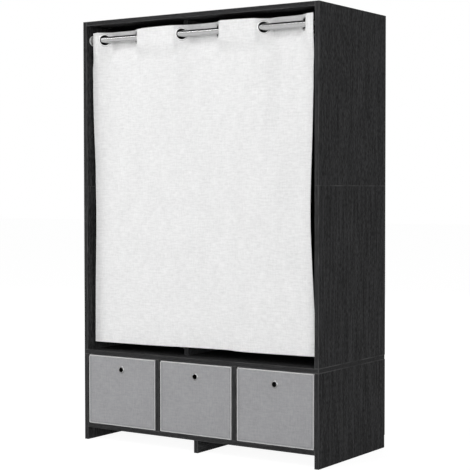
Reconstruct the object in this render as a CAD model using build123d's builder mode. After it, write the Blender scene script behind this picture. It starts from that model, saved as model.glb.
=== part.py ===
from build123d import *
from math import cos, radians, sin, tan
import os

os.makedirs("parts", exist_ok=True)

# A curtain wardrobe in millimetres. The origin is on the floor, under the centre of the
# footprint. X runs to the right, Y to the back and Z up, so the front faces -Y.

# Whole carcass
width = 1016
depth = 475
height = 1560
board = 16
back_thickness = 3
overrun = 5

# Base with three bin bays
base_height = 338
bottom_clearance = 46
foot_setback = 6

# Upper case
divider_from_left = 424
front_setback = 65
shelf_end_gap = 0.5
shelf_count = 3

# Dowels and cam fittings inside the joints
dowel_radius = 4
dowel_length = 30
bolt_radius = 2.5
bolt_head_radius = 3.5
bolt_head_length = 3
face_depth = 11
cam_radius = 7.5
cam_thickness = 12
cam_distance = 34
fit_gap = 0.1
end_gap = 0.5
base_cam_spacing = 340
base_dowel_spacing = 220
case_cam_spacing = 280
case_dowel_spacing = 160

# Shelf pins
pin_radius = 2.5
pin_length = 16
pin_hole_depth = 8
pin_inset = 40

# Nails in the back panels
nail_radius = 0.8
nail_length = 16
nail_head_radius = 2.5
nail_head_thickness = 1
nail_edge = 5
nails_per_board = 3

# Curtain rod, clothes rail and their sockets
rod_from_front = 35
rod_drop = 52.2
rod_radius = 12
tube_wall = 1.2
rail_drop = 60
rail_radius = 12.5
socket_flange = 2.5
socket_rim = 4
socket_depth = 12
socket_wall = 2.2
socket_fit = 0.3
tube_end_gap = 0.5
screw_radius = 1.8
screw_head_radius = 3.6
screw_head_depth = 1.9
screw_length = 14

# Curtain cloth, hung on eyelets
cloth = 1.5
hem_above_base = 30
heading_above_rod = 31.2
first_eyelet_from_left = 75
last_eyelet_from_right = 77
spacing_shares = (0.1724, 0.2362, 0.1828, 0.2199, 0.1887)
fold_angle = 45
fold_radius = 6
low_fold_run = 26
low_fold_rise = 7
low_fold_radius = 40
left_hem_gap = 6
right_hem_gap = 24
hinge_gap = 1.2
sweep_gap = 1.5

# Eyelets
eyelet_hole_radius = 19
eyelet_outer_radius = 24
eyelet_wall = 0.8
eyelet_flange = 0.85
eyelet_round = 0.35
eyelet_margin = 0.5

# Fabric bins
bin_side_gap = 2.7
bin_top_gap = 1.5
bin_setback = 3
bin_depth = 440
bin_wall = 3
bin_corner = 3
insert_thickness = 3
insert_gap = 1
grommet_drop = 47.8
grommet_hole_radius = 8.5
grommet_outer_radius = 14
grommet_wall = 1
grommet_flange = 1

# Planes and heights that the pieces share
left = -width / 2
right = width / 2
front = -depth / 2
back = depth / 2
inner_left = left + board
inner_right = right - board
board_back = back - back_thickness
board_middle = (front + board_back) / 2
base_underside = base_height - board
bottom_top = bottom_clearance + board
case_underside = height - board
seam = (base_height + height) / 2
divider_x = left + divider_from_left
shelf_front = front + front_setback
bay_width = (width - 4 * board) / 3
bay_pitch = bay_width + board
rod_y = front + rod_from_front
rod_height = case_underside - rod_drop
curtain_top = rod_height + heading_above_rod
curtain_bottom = base_height + hem_above_base
rail_y = (shelf_front + board_back) / 2
rail_height = case_underside - rail_drop
shelf_opening = (case_underside - base_height - shelf_count * board) / (shelf_count + 1)


def finish(made, name):
    made.part.label = name
    export_step(made.part, f"parts/{name}.step")


def pair_about(middle, spacing):
    return [middle - spacing / 2, middle + spacing / 2]


def joint_places(x, z, pocket, edge, spacing):
    """Places on a joint's contact plane. Local Z points into the edge board."""
    rows = pair_about(board_middle, spacing)
    return [Plane(origin=(x, y, z), x_dir=pocket, z_dir=edge).location for y in rows]


# Joints: where one board's edge meets another board's face
edge_x = right - board / 2
up, down = (0, 0, 1), (0, 0, -1)
rightward, leftward = (1, 0, 0), (-1, 0, 0)
bottom_middle = bottom_clearance + board / 2
top_middle = height - board / 2
joints = {
    "bottom_left": (inner_left, bottom_middle, down, rightward),
    "bottom_right": (inner_right, bottom_middle, down, leftward),
    "base_left": (-edge_x, base_underside, rightward, down),
    "base_right": (edge_x, base_underside, leftward, down),
    "case_left": (-edge_x, base_height, rightward, up),
    "case_right": (edge_x, base_height, leftward, up),
    "divider_foot": (divider_x, base_height, rightward, up),
    "divider_head": (divider_x, case_underside, rightward, down),
    "top_left": (inner_left, top_middle, down, rightward),
    "top_right": (inner_right, top_middle, down, leftward),
}
doweled = {
    "seam_left": (-edge_x, seam, rightward, up),
    "seam_right": (edge_x, seam, leftward, up),
    "seam_divider": (divider_x, seam, rightward, up),
    "bay_left_foot": (-bay_pitch / 2, bottom_top, rightward, up),
    "bay_right_foot": (bay_pitch / 2, bottom_top, rightward, up),
    "bay_left_head": (-bay_pitch / 2, base_underside, rightward, down),
    "bay_right_head": (bay_pitch / 2, base_underside, rightward, down),
    "foot_head": (0, bottom_clearance, rightward, down),
}
base_joints = ("bottom_left", "bottom_right", "base_left", "base_right")
cam_places = {}
dowel_places = {}
for name, place in joints.items():
    in_base = name in base_joints
    cam_spacing = base_cam_spacing if in_base else case_cam_spacing
    dowel_spacing = base_dowel_spacing if in_base else case_dowel_spacing
    cam_places[name] = joint_places(*place, cam_spacing)
    dowel_places[name] = joint_places(*place, dowel_spacing)
for name, place in doweled.items():
    dowel_places[name] = joint_places(*place, case_dowel_spacing)

dowel_middle = dowel_length / 2 - face_depth
bolt_middle = (cam_distance - face_depth) / 2
cam_middle = (board - cam_thickness) / 2


def drill_joints(names):
    """Dowel holes, bolt holes and cam pockets in the board being made."""
    for name in names:
        dowels = [p * Location((0, 0, dowel_middle)) for p in dowel_places[name]]
        with Locations(*dowels):
            Cylinder(
                dowel_radius + fit_gap, dowel_length + 2 * end_gap, mode=Mode.SUBTRACT
            )
        for place in cam_places.get(name, []):
            with Locations(place * Location((0, 0, bolt_middle))):
                Cylinder(
                    bolt_head_radius + fit_gap,
                    cam_distance + face_depth + 2 * end_gap,
                    mode=Mode.SUBTRACT,
                )
            with Locations(place * Location((cam_middle, 0, cam_distance), (0, 90, 0))):
                Cylinder(cam_radius + fit_gap, cam_thickness, mode=Mode.SUBTRACT)


def even(low, high, count):
    """Places spread evenly between two ends, with half a step left at each end."""
    step = (high - low) / count
    return [low + step * (i + 0.5) for i in range(count)]


# Nails: columns on the upright boards and rows on the level ones, as x and z
case_columns = (
    -edge_x,
    divider_x - nail_edge,
    divider_x + nail_edge,
    edge_x,
)
lower_nails = [(x, z) for x in case_columns for z in even(base_height, seam, nails_per_board)]
upper_nails = [(x, z) for x in case_columns for z in even(seam, case_underside, nails_per_board)]
top_nails = [
    (x, top_middle)
    for low_x, high_x in ((inner_left, divider_x), (divider_x, inner_right))
    for x in even(low_x, high_x, nails_per_board)
]
upright_nails = [
    (x, z)
    for x in (-edge_x, -bay_pitch / 2, bay_pitch / 2, edge_x)
    for z in even(bottom_top, base_underside, nails_per_board)
]
bottom_nails = [(x, bottom_middle) for x in even(inner_left, inner_right, nails_per_board)]
nail_places = lower_nails + upper_nails + top_nails + upright_nails + bottom_nails


def nail_locations(places):
    return [Plane(origin=(x, back, z), z_dir=(0, -1, 0)).location for x, z in places]


def make_board(name, x_span, y_span, z_span, joint_names=(), nails=(), holes=()):
    """A plain board between three pairs of planes, drilled for its fittings."""
    spans = (x_span, y_span, z_span)
    with BuildPart() as made:
        with Locations(tuple((low + high) / 2 for low, high in spans)):
            Box(*(high - low for low, high in spans))
        drill_joints(joint_names)
        if nails:
            with Locations(*nail_locations(nails)):
                Cylinder(
                    nail_radius + fit_gap / 2,
                    2 * (nail_length + end_gap),
                    mode=Mode.SUBTRACT,
                )
        for radius, length, places in holes:
            with Locations(*places):
                Cylinder(radius, length, mode=Mode.SUBTRACT)
    finish(made, name)


# Shelf pins and their holes, in the left side and the divider
divider_left = divider_x - board / 2
divider_right = divider_x + board / 2
shelf_levels = [
    base_height + shelf_opening + i * (shelf_opening + board) for i in range(shelf_count)
]
pin_rows = [shelf_front + pin_inset, board_back - pin_inset]


def pins_at(face_x, levels):
    return [
        Location((face_x, y, level - pin_radius), (0, 90, 0)) for level in levels for y in pin_rows
    ]


def pin_holes(face_x, levels):
    return (pin_radius + fit_gap / 2, 2 * (pin_hole_depth + end_gap), pins_at(face_x, levels))


lower_levels = [level for level in shelf_levels if level < seam]
upper_levels = [level for level in shelf_levels if level >= seam]


def screw_hole(x, y, z):
    length = 2 * (screw_length + end_gap)
    return (screw_radius + fit_gap / 2, length, [Location((x, y, z), (0, 90, 0))])


# Base boards
full_depth = (front, board_back)
make_board(
    "base_side_left",
    (left, inner_left),
    full_depth,
    (0, base_underside),
    ("bottom_left", "base_left"),
    [n for n in upright_nails if n[0] == -edge_x],
)
make_board(
    "base_side_right",
    (inner_right, right),
    full_depth,
    (0, base_underside),
    ("bottom_right", "base_right"),
    [n for n in upright_nails if n[0] == edge_x],
)
make_board(
    "base_bottom",
    (inner_left, inner_right),
    full_depth,
    (bottom_clearance, bottom_top),
    ("bottom_left", "bottom_right", "bay_left_foot", "bay_right_foot", "foot_head"),
    bottom_nails,
)
for side, middle in (("left", -bay_pitch / 2), ("right", bay_pitch / 2)):
    make_board(
        f"base_divider_{side}",
        (middle - board / 2, middle + board / 2),
        full_depth,
        (bottom_top, base_underside),
        (f"bay_{side}_foot", f"bay_{side}_head"),
        [n for n in upright_nails if n[0] == middle],
    )
make_board(
    "base_top",
    (left, right),
    full_depth,
    (base_underside, base_height),
    (
        "base_left",
        "base_right",
        "bay_left_head",
        "bay_right_head",
        "case_left",
        "case_right",
        "divider_foot",
    ),
)
make_board(
    "base_foot",
    (-board / 2, board / 2),
    (front + foot_setback, board_back),
    (0, bottom_clearance),
    ("foot_head",),
)

# Upright boards of the case, each in a lower and an upper half
uprights = (
    ("side_left", (left, inner_left), "left", -edge_x),
    ("side_right", (inner_right, right), "right", edge_x),
)
for name, x_span, side, column in uprights:
    inner_x = x_span[1] if side == "left" else x_span[0]
    shelf_holes = [pin_holes(inner_x, lower_levels)] if side == "left" else []
    make_board(
        f"{name}_lower",
        x_span,
        full_depth,
        (base_height, seam),
        (f"case_{side}", f"seam_{side}"),
        [n for n in lower_nails if n[0] == column],
        shelf_holes,
    )
    holes = [screw_hole(inner_x, rod_y, rod_height)]
    if side == "left":
        holes.append(pin_holes(inner_x, upper_levels))
    else:
        holes.append(screw_hole(inner_x, rail_y, rail_height))
    make_board(
        f"{name}_upper",
        x_span,
        full_depth,
        (seam, height),
        (f"top_{side}", f"seam_{side}"),
        [n for n in upper_nails if n[0] == column],
        holes,
    )
divider_span = (divider_left, divider_right)
divider_depth = (shelf_front, board_back)
divider_columns = case_columns[1:3]
make_board(
    "divider_lower",
    divider_span,
    divider_depth,
    (base_height, seam),
    ("divider_foot", "seam_divider"),
    [n for n in lower_nails if n[0] in divider_columns],
    [pin_holes(divider_left, lower_levels)],
)
make_board(
    "divider_upper",
    divider_span,
    divider_depth,
    (seam, case_underside),
    ("divider_head", "seam_divider"),
    [n for n in upper_nails if n[0] in divider_columns],
    [pin_holes(divider_left, upper_levels), screw_hole(divider_right, rail_y, rail_height)],
)
make_board(
    "case_top",
    (inner_left, inner_right),
    full_depth,
    (case_underside, height),
    ("top_left", "top_right", "divider_head"),
    top_nails,
)
for name, level in zip(("shelf_lower", "shelf_middle", "shelf_upper"), shelf_levels):
    make_board(
        name,
        (inner_left + shelf_end_gap, divider_left - shelf_end_gap),
        divider_depth,
        (level, level + board),
    )

# Back panels, nailed to the boards' rear edges
panels = (
    ("back_panel_left", (left, divider_x), (base_height, height)),
    ("back_panel_right", (divider_x, right), (base_height, height)),
    ("base_back", (left, right), (bottom_clearance, base_underside)),
)
for name, (low_x, high_x), (low_z, high_z) in panels:
    own = [n for n in nail_places if low_x < n[0] < high_x and low_z < n[1] < high_z]
    with BuildPart() as panel:
        with Locations(((low_x + high_x) / 2, board_back + back_thickness / 2, (low_z + high_z) / 2)):
            Box(high_x - low_x, back_thickness, high_z - low_z)
        with Locations(*nail_locations(own)):
            Cylinder(nail_radius + fit_gap / 2, 2 * nail_length, mode=Mode.SUBTRACT)
            Cylinder(
                nail_head_radius + fit_gap,
                2 * nail_head_thickness,
                mode=Mode.SUBTRACT,
            )
    finish(panel, name)

# Dowels, bolts and cams: one node each, because the joints hold many
with BuildPart() as dowels:
    for places in dowel_places.values():
        with Locations(*(p * Location((0, 0, dowel_middle)) for p in places)):
            Cylinder(dowel_radius, dowel_length)
finish(dowels, "dowels")

all_cams = [p for places in cam_places.values() for p in places]
bolt_length = cam_distance + face_depth
with BuildPart() as bolts:
    with Locations(*(p * Location((0, 0, bolt_middle)) for p in all_cams)):
        Cylinder(bolt_radius, bolt_length)
    with Locations(*(p * Location((0, 0, cam_distance - bolt_head_length / 2)) for p in all_cams)):
        Cylinder(bolt_head_radius, bolt_head_length)
finish(bolts, "cam_bolts")

slot_length = cam_radius + bolt_head_length
with BuildPart() as cams:
    cam_turn = [p * Location((cam_middle, 0, cam_distance), (0, 90, 0)) for p in all_cams]
    with Locations(*cam_turn):
        Cylinder(cam_radius, cam_thickness)
    slots = [p * Location((0, 0, cam_distance - cam_radius + slot_length / 2)) for p in all_cams]
    with Locations(*slots):
        Cylinder(bolt_head_radius + fit_gap, slot_length, mode=Mode.SUBTRACT)
finish(cams, "cam_locks")

with BuildPart() as pins:
    with Locations(*pins_at(inner_left, shelf_levels), *pins_at(divider_left, shelf_levels)):
        Cylinder(pin_radius, pin_length)
finish(pins, "shelf_pins")

with BuildPart() as nails:
    with Locations(*(p * Location((0, 0, nail_length / 2)) for p in nail_locations(nail_places))):
        Cylinder(nail_radius, nail_length)
    heads = [p * Location((0, 0, nail_head_thickness / 2)) for p in nail_locations(nail_places)]
    with Locations(*heads):
        Cylinder(nail_head_radius, nail_head_thickness)
finish(nails, "back_nails")


def make_tube(name, x_low, x_high, y, z, radius):
    """A level steel tube along X, held between two sockets."""
    length = x_high - x_low - 2 * (socket_flange + tube_end_gap)
    with BuildPart() as tube:
        with BuildSketch(Plane.YZ.offset((x_low + x_high) / 2)):
            with Locations((y, z)):
                Circle(radius)
                Circle(radius - tube_wall, mode=Mode.SUBTRACT)
        extrude(amount=length / 2, both=True)
    finish(tube, name)


def make_socket(name, face_x, inward, y, z, tube_radius):
    """A flanged cup on a board's face, with a countersunk screw hole."""
    cup_bore = tube_radius + socket_fit
    cup_radius = cup_bore + socket_wall
    mount = Plane(origin=(face_x, y, z), x_dir=(0, 1, 0), z_dir=(inward, 0, 0))
    with BuildPart() as socket:
        with BuildSketch(mount):
            Circle(cup_radius + socket_rim)
        extrude(amount=socket_flange)
        with BuildSketch(mount.offset(socket_flange)):
            Circle(cup_radius)
            Circle(cup_bore, mode=Mode.SUBTRACT)
        extrude(amount=socket_depth)
        with Locations(mount.offset(socket_flange)):
            CounterSinkHole(
                screw_radius + fit_gap, screw_head_radius + fit_gap, 2 * socket_flange
            )
        rim = socket.edges().filter_by(GeomType.CIRCLE).group_by(Axis.X)
        fillet(rim[-1 if inward > 0 else 0], radius=socket_wall / 3)
    finish(socket, name)


make_tube("curtain_rod", inner_left, inner_right, rod_y, rod_height, rod_radius)
make_tube("clothes_rail", divider_right, inner_right, rail_y, rail_height, rail_radius)
sockets = (
    ("rod_socket_left", inner_left, 1, rod_y, rod_height, rod_radius),
    ("rod_socket_right", inner_right, -1, rod_y, rod_height, rod_radius),
    ("rail_socket_left", divider_right, 1, rail_y, rail_height, rail_radius),
    ("rail_socket_right", inner_right, -1, rail_y, rail_height, rail_radius),
)
for socket in sockets:
    make_socket(*socket)

with BuildPart() as screws:
    for name, face_x, inward, y, z, radius in sockets:
        seat = Plane(origin=(face_x, y, z), x_dir=(0, 1, 0), z_dir=(inward, 0, 0))
        with Locations(seat.offset(socket_flange - screw_length / 2)):
            Cylinder(screw_radius, screw_length)
        with Locations(seat.offset(socket_flange - screw_head_depth / 2)):
            Cone(screw_radius, screw_head_radius, screw_head_depth)
finish(screws, "socket_screws")

# Curtain: where the eyelets sit along the rod, and how far a fold stands off it
eyelet_span = width - first_eyelet_from_left - last_eyelet_from_right
eyelets = [left + first_eyelet_from_left]
for share in spacing_shares:
    eyelets.append(eyelets[-1] + share * eyelet_span)
slope = radians(fold_angle)
flat_half = eyelet_outer_radius + eyelet_margin
corner = flat_half + fold_radius * tan(slope / 2)
fold_run = corner * cos(slope)
fold_rise = corner * sin(slope)
creases = [(a + b) / 2 for a, b in zip(eyelets, eyelets[1:])]
left_hem = inner_left + left_hem_gap
right_hem = inner_right - right_hem_gap
tab_bottom = rod_height - flat_half

# The folds are deep at the eyelets and nearly flat at the bottom hem
top_fold = (fold_run, fold_rise, fold_radius)
bottom_fold = (low_fold_run, low_fold_rise, low_fold_radius)


def side_of(number):
    """1 where the cloth passes to the back on the eyelet's right, otherwise -1."""
    return 1 if number % 2 == 1 else -1


def eyelet_plane(number):
    """The plane of an eyelet. Its Z is square to the cloth there."""
    lean = side_of(number)
    normal = (-lean * sin(slope), cos(slope), 0)
    return Plane(origin=(eyelets[number - 1], rod_y, rod_height), x_dir=(0, 0, 1), z_dir=normal)


def cloth_section(line, fold, z):
    """A level cut through cloth that follows a line, given as x and distance behind the rod."""
    run, rise, bend = fold
    with BuildSketch(Plane.XY.offset(z)) as section:
        with BuildLine():
            FilletPolyline(*((x, rod_y + y) for x, y in line(run, rise)), radius=bend)
        trace(line_width=cloth)
    return section.sketch


def hang(line):
    """Cloth with a straight band at the eyelets, which eases to the bottom hem below it."""
    band = cloth_section(line, top_fold, tab_bottom)
    extrude(band, amount=curtain_top - tab_bottom)
    loft([band, cloth_section(line, bottom_fold, curtain_bottom)], ruled=True)


def punch(number):
    """The hole in the cloth for an eyelet."""
    with Locations(eyelet_plane(number)):
        Cylinder(eyelet_hole_radius + eyelet_wall + fit_gap, overrun, mode=Mode.SUBTRACT)


# The leading fold: a panel that keeps its shape between the first two eyelets
first, second = eyelets[0], eyelets[1]


def lead_line(run, rise):
    return (
        (left_hem, -rise),
        (first - run, -rise),
        (first + run, rise),
        (second - run, rise),
        (second, 0),
    )


with BuildPart() as lead:
    hang(lead_line)
    with BuildSketch(Plane.XY.offset(tab_bottom)) as tab:
        with BuildLine():
            Line((second, rod_y), (second + flat_half * cos(slope), rod_y - flat_half * sin(slope)))
        trace(line_width=cloth)
    extrude(amount=curtain_top - tab_bottom)
    punch(1)
    punch(2)
finish(lead, "curtain_fold_1")


# The second fold turns about the second eyelet, which stays with the leading panel
def second_line(run, rise):
    start = hinge_gap / (run * run + rise * rise) ** 0.5
    return (
        (second + start * run, -start * rise),
        (second + run, -rise),
        (creases[1], -rise),
    )


with BuildPart() as second_fold:
    hang(second_line)
    sweep_height = curtain_top - tab_bottom + sweep_gap
    with Locations((second, rod_y, curtain_top - sweep_height / 2)):
        Cylinder(flat_half + sweep_gap / 2, sweep_height + fit_gap, mode=Mode.SUBTRACT)
finish(second_fold, "curtain_fold_2")

# The other folds each run from crease to crease through an eyelet
for number in range(3, len(eyelets) + 1):
    lean = side_of(number)
    middle = eyelets[number - 1]
    low_end = creases[number - 2]
    high_end = creases[number - 1] if number < len(eyelets) else right_hem

    def fold_line(run, rise):
        return (
            (low_end, -lean * rise),
            (middle - run, -lean * rise),
            (middle + run, lean * rise),
            (high_end, lean * rise),
        )

    with BuildPart() as fold:
        hang(fold_line)
        punch(number)
    finish(fold, f"curtain_fold_{number}")

# Eyelets: a barrel through the cloth with a flange on each face
flange_in = cloth / 2 + fit_gap
flange_out = flange_in + eyelet_flange
barrel = eyelet_hole_radius + eyelet_wall
ring_profile = (
    (eyelet_hole_radius, -flange_out),
    (eyelet_outer_radius, -flange_out),
    (eyelet_outer_radius, -flange_in),
    (barrel, -flange_in),
    (barrel, flange_in),
    (eyelet_outer_radius, flange_in),
    (eyelet_outer_radius, flange_out),
    (eyelet_hole_radius, flange_out),
)
for number in range(1, len(eyelets) + 1):
    seat = eyelet_plane(number)
    cut = Plane(origin=seat.origin, x_dir=(0, 0, 1), z_dir=seat.y_dir)
    with BuildPart() as eyelet:
        with BuildSketch(cut) as profile:
            with BuildLine():
                Polyline(*ring_profile, close=True)
            make_face()
            rims = profile.vertices().group_by(Axis.Y)
            fillet(rims[0] + rims[-1], radius=eyelet_round)
        revolve(axis=Axis(seat.origin, seat.z_dir))
    finish(eyelet, f"eyelet_{number}")

# Fabric bins, each with a stiff insert and a grommet for a finger
bin_width = bay_width - 2 * bin_side_gap
bin_height = base_underside - bottom_top - bin_top_gap
bin_front = front + bin_setback
bin_middle = bin_front + bin_depth / 2
grommet_height = bottom_top + bin_height - grommet_drop
for side, x in (("left", -bay_pitch), ("middle", 0), ("right", bay_pitch)):
    finger = Plane(origin=(x, bin_front, grommet_height), x_dir=(1, 0, 0), z_dir=(0, -1, 0))
    with BuildPart() as cover:
        with BuildSketch(Plane.XY.offset(bottom_top)):
            with Locations((x, bin_middle)):
                RectangleRounded(bin_width, bin_depth, bin_corner + bin_wall)
        extrude(amount=bin_height)
        with BuildSketch(Plane.XY.offset(bottom_top + bin_wall)):
            with Locations((x, bin_middle)):
                RectangleRounded(bin_width - 2 * bin_wall, bin_depth - 2 * bin_wall, bin_corner)
        extrude(amount=bin_height, mode=Mode.SUBTRACT)
        with Locations(finger):
            Cylinder(
                grommet_hole_radius + grommet_wall + fit_gap,
                2 * (bin_wall + overrun),
                mode=Mode.SUBTRACT,
            )
    finish(cover, f"bin_{side}_cover")
    with BuildPart() as insert:
        with BuildSketch(Plane.XY.offset(bottom_top + bin_wall)):
            with Locations((x, bin_middle)):
                inset = 2 * (bin_wall + insert_gap)
                RectangleRounded(bin_width - inset, bin_depth - inset, bin_corner)
        extrude(amount=insert_thickness)
    finish(insert, f"bin_{side}_insert")
    with BuildPart() as grommet:
        with BuildSketch(finger.offset(fit_gap)):
            Circle(grommet_outer_radius)
            Circle(grommet_hole_radius, mode=Mode.SUBTRACT)
        extrude(amount=grommet_flange)
        with BuildSketch(finger.offset(fit_gap)):
            Circle(grommet_hole_radius + grommet_wall)
            Circle(grommet_hole_radius, mode=Mode.SUBTRACT)
        extrude(amount=-(bin_wall + 2 * fit_gap + grommet_flange))
        with BuildSketch(finger.offset(-bin_wall - fit_gap)):
            Circle(grommet_outer_radius)
            Circle(grommet_hole_radius, mode=Mode.SUBTRACT)
        extrude(amount=-grommet_flange)
    finish(grommet, f"bin_{side}_grommet")
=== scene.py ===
import math

import bpy
import numpy as np
from mathutils import Matrix, Vector


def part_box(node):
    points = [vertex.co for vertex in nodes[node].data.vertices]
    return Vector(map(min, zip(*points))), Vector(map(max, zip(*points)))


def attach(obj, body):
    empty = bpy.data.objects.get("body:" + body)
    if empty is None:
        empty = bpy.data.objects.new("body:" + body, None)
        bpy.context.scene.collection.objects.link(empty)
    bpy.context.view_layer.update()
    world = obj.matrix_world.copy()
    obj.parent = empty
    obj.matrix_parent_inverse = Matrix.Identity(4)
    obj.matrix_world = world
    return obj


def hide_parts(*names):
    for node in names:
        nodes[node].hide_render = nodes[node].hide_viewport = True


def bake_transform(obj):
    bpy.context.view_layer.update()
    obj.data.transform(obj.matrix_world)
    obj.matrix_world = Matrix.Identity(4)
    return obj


# Curtain wardrobe. Everything is in metres, in the frame's own coordinates.
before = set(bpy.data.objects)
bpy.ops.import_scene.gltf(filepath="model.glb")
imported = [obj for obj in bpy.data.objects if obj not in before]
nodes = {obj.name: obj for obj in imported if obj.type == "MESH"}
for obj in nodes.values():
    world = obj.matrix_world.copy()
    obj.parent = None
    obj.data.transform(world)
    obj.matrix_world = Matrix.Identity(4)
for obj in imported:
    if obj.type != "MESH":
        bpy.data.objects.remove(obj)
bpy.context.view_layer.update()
sides = ("left", "middle", "right")
print("frame loaded,", len(nodes), "nodes")


# Camera, solved from the carcass's corners in the photograph
photoView = {
    "place": (2.7421, -4.0566, 0.9309),
    "yaw": 33.932, "pitch": -1.890, "roll": -0.045,
    "lens": 101.95, "sensorWidth": 36, "clipEnd": 100,
}


def placeObject(name, data):
    made = bpy.data.objects.new(name, data)
    bpy.context.scene.collection.objects.link(made)
    return made


def makeCamera(view):
    yaw, pitch, roll = (math.radians(view[key]) for key in ("yaw", "pitch", "roll"))
    ahead = Vector((-math.sin(yaw) * math.cos(pitch), math.cos(yaw) * math.cos(pitch), math.sin(pitch)))
    right = Vector((math.cos(yaw), math.sin(yaw), 0))
    up = right.cross(ahead)
    rolledRight = math.cos(roll) * right + math.sin(roll) * up
    rolledUp = math.cos(roll) * up - math.sin(roll) * right
    turn = Matrix((rolledRight, rolledUp, -ahead)).transposed()
    camera = placeObject("camera", bpy.data.cameras.new("camera"))
    camera.matrix_world = Matrix.Translation(view["place"]) @ turn.to_4x4()
    camera.data.lens = view["lens"]
    camera.data.sensor_width = view["sensorWidth"]
    camera.data.clip_end = view["clipEnd"]
    bpy.context.scene.camera = camera


makeCamera(photoView)
bpy.context.scene.view_settings.view_transform = "Standard"


# Node helpers. Wherever one takes a value, it takes a socket too and links it.
def feed(tree, sockets, values):
    for key, value in values.items():
        if isinstance(value, bpy.types.NodeSocket):
            tree.links.new(value, sockets[key])
        else:
            sockets[key].default_value = value


def addNode(tree, kind, inputs=None, **settings):
    node = tree.nodes.new(kind)
    for key, value in settings.items():
        setattr(node, key, value)
    feed(tree, node.inputs, inputs or {})
    return node.outputs


def mathNode(tree, operation, *values):
    return addNode(tree, "ShaderNodeMath", dict(enumerate(values)), operation=operation)[0]


def plus(tree, first, second):
    return mathNode(tree, "ADD", first, second)


def minus(tree, first, second):
    return mathNode(tree, "SUBTRACT", first, second)


def times(tree, first, second):
    return mathNode(tree, "MULTIPLY", first, second)


# Sum of (value, gain) or (value, gain, middle): how far each value stands off its middle, times its gain
def swing(tree, *terms):
    total = None
    for value, gain, *middle in terms:
        term = times(tree, minus(tree, value, middle[0] if middle else 0.5), gain)
        total = term if total is None else plus(tree, total, term)
    return total


def vectorNode(tree, operation, *values, output="Vector"):
    return addNode(tree, "ShaderNodeVectorMath", dict(enumerate(values)), operation=operation)[output]


def scaleVector(tree, vector, factor):
    return addNode(tree, "ShaderNodeVectorMath", {0: vector, "Scale": factor}, operation="SCALE")[0]


def separate(tree, vector):
    return addNode(tree, "ShaderNodeSeparateXYZ", {0: vector})


def stretch(tree, vector, scale=(1, 1, 1), place=(0, 0, 0), turn=(0, 0, 0)):
    given = {"Vector": vector, "Scale": scale, "Location": place, "Rotation": [math.radians(a) for a in turn]}
    return addNode(tree, "ShaderNodeMapping", given)[0]


def noiseAt(tree, vector, scale=1.0, detail=2.0, roughness=0.5):
    given = {"Vector": vector, "Scale": scale, "Detail": detail, "Roughness": roughness}
    return addNode(tree, "ShaderNodeTexNoise", given)["Fac"]


def rampTo(tree, value, low, high, lowOut=0.0, highOut=1.0):
    given = {"Value": value, "From Min": low, "From Max": high, "To Min": lowOut, "To Max": highOut}
    return addNode(tree, "ShaderNodeMapRange", given)[0]


def blendColor(tree, factor, first, second):
    return addNode(tree, "ShaderNodeMix", {0: factor, 6: first, 7: second}, data_type="RGBA")[2]


def toneColor(tree, tone, given):    # between a group's Dark and Light
    clamp = addNode(tree, "ShaderNodeClamp", {"Value": tone})[0]
    return blendColor(tree, clamp, given["Dark"], given["Light"])


# Inputs are (name, kind) or (name, kind, value), outputs (name, kind)
def makeGroup(name, inputs, outputs, treeKind="ShaderNodeTree"):
    group = bpy.data.node_groups.new(name, treeKind)
    for label, kind, *value in inputs:
        socket = group.interface.new_socket(label, in_out="INPUT", socket_type="NodeSocket" + kind)
        if value:
            socket.default_value = value[0]
    for label, kind in outputs:
        group.interface.new_socket(label, in_out="OUTPUT", socket_type="NodeSocket" + kind)
    given = group.nodes.new("NodeGroupInput").outputs
    result = group.nodes.new("NodeGroupOutput").inputs
    return group, given, result


# Colour of a grey given as it shows on screen, 0 to 255. A warm one has less blue, a cool one more.
def grey(level, warm=0.0):
    linear = ((level / 255 + 0.055) / 1.055) ** 2.4
    return (linear * (1 + max(warm, 0)), linear, linear * (1 - warm), 1)


# Grain along the group's own X. Its patterns are stretched in units of one streak.
grainPattern = {
    "broad": (0.4, 0.22, 0.22), "dash": (9.0, 1.1, 1.1), "pore": (6.0, 5.5, 5.5),
    "gains": (0.6, 2.4, 2.6), "middleTone": 0.5,
    "poreMask": (0.58, 0.66), "poreDepth": 0.35, "roughness": (0.56, 0.42),
}


def makeGrainGroup(pattern):
    group, given, result = makeGroup(
        "woodGrain",
        (("Vector", "Vector"), ("Dark", "Color"), ("Light", "Color"), ("Figure", "Float", 1.0),
         ("Streak Length", "Float", 0.08), ("Streak Width", "Float", 0.004)),
        (("Color", "Color"), ("Roughness", "Float"), ("Height", "Float")),
    )
    along, across = (mathNode(group, "DIVIDE", 1.0, given[key]) for key in ("Streak Length", "Streak Width"))
    scale = addNode(group, "ShaderNodeCombineXYZ", {"X": along, "Y": across, "Z": across})[0]
    fine = vectorNode(group, "MULTIPLY", given["Vector"], scale)
    broad = noiseAt(group, stretch(group, fine, pattern["broad"]))
    streak = noiseAt(group, fine, detail=3.0, roughness=0.6)
    dash = noiseAt(group, stretch(group, fine, pattern["dash"]), roughness=0.6)
    pore = noiseAt(group, stretch(group, fine, pattern["pore"]), detail=1.0)
    poreMask = rampTo(group, pore, *pattern["poreMask"])
    tone = times(group, swing(group, *zip((broad, streak, dash), pattern["gains"])), given["Figure"])
    tone = plus(group, tone, pattern["middleTone"])
    tone = minus(group, tone, times(group, poreMask, pattern["poreDepth"]))
    feed(group, result, {
        "Color": toneColor(group, tone, given),
        "Roughness": rampTo(group, tone, 0.0, 1.0, *pattern["roughness"]),
        "Height": minus(group, streak, poreMask),
    })
    return group


# Where a board's arrises and its narrow edges are, from its box
boardReach = {"arris": (0.0004, 0.0026), "edge": (0.0002, 0.0005)}


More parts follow.
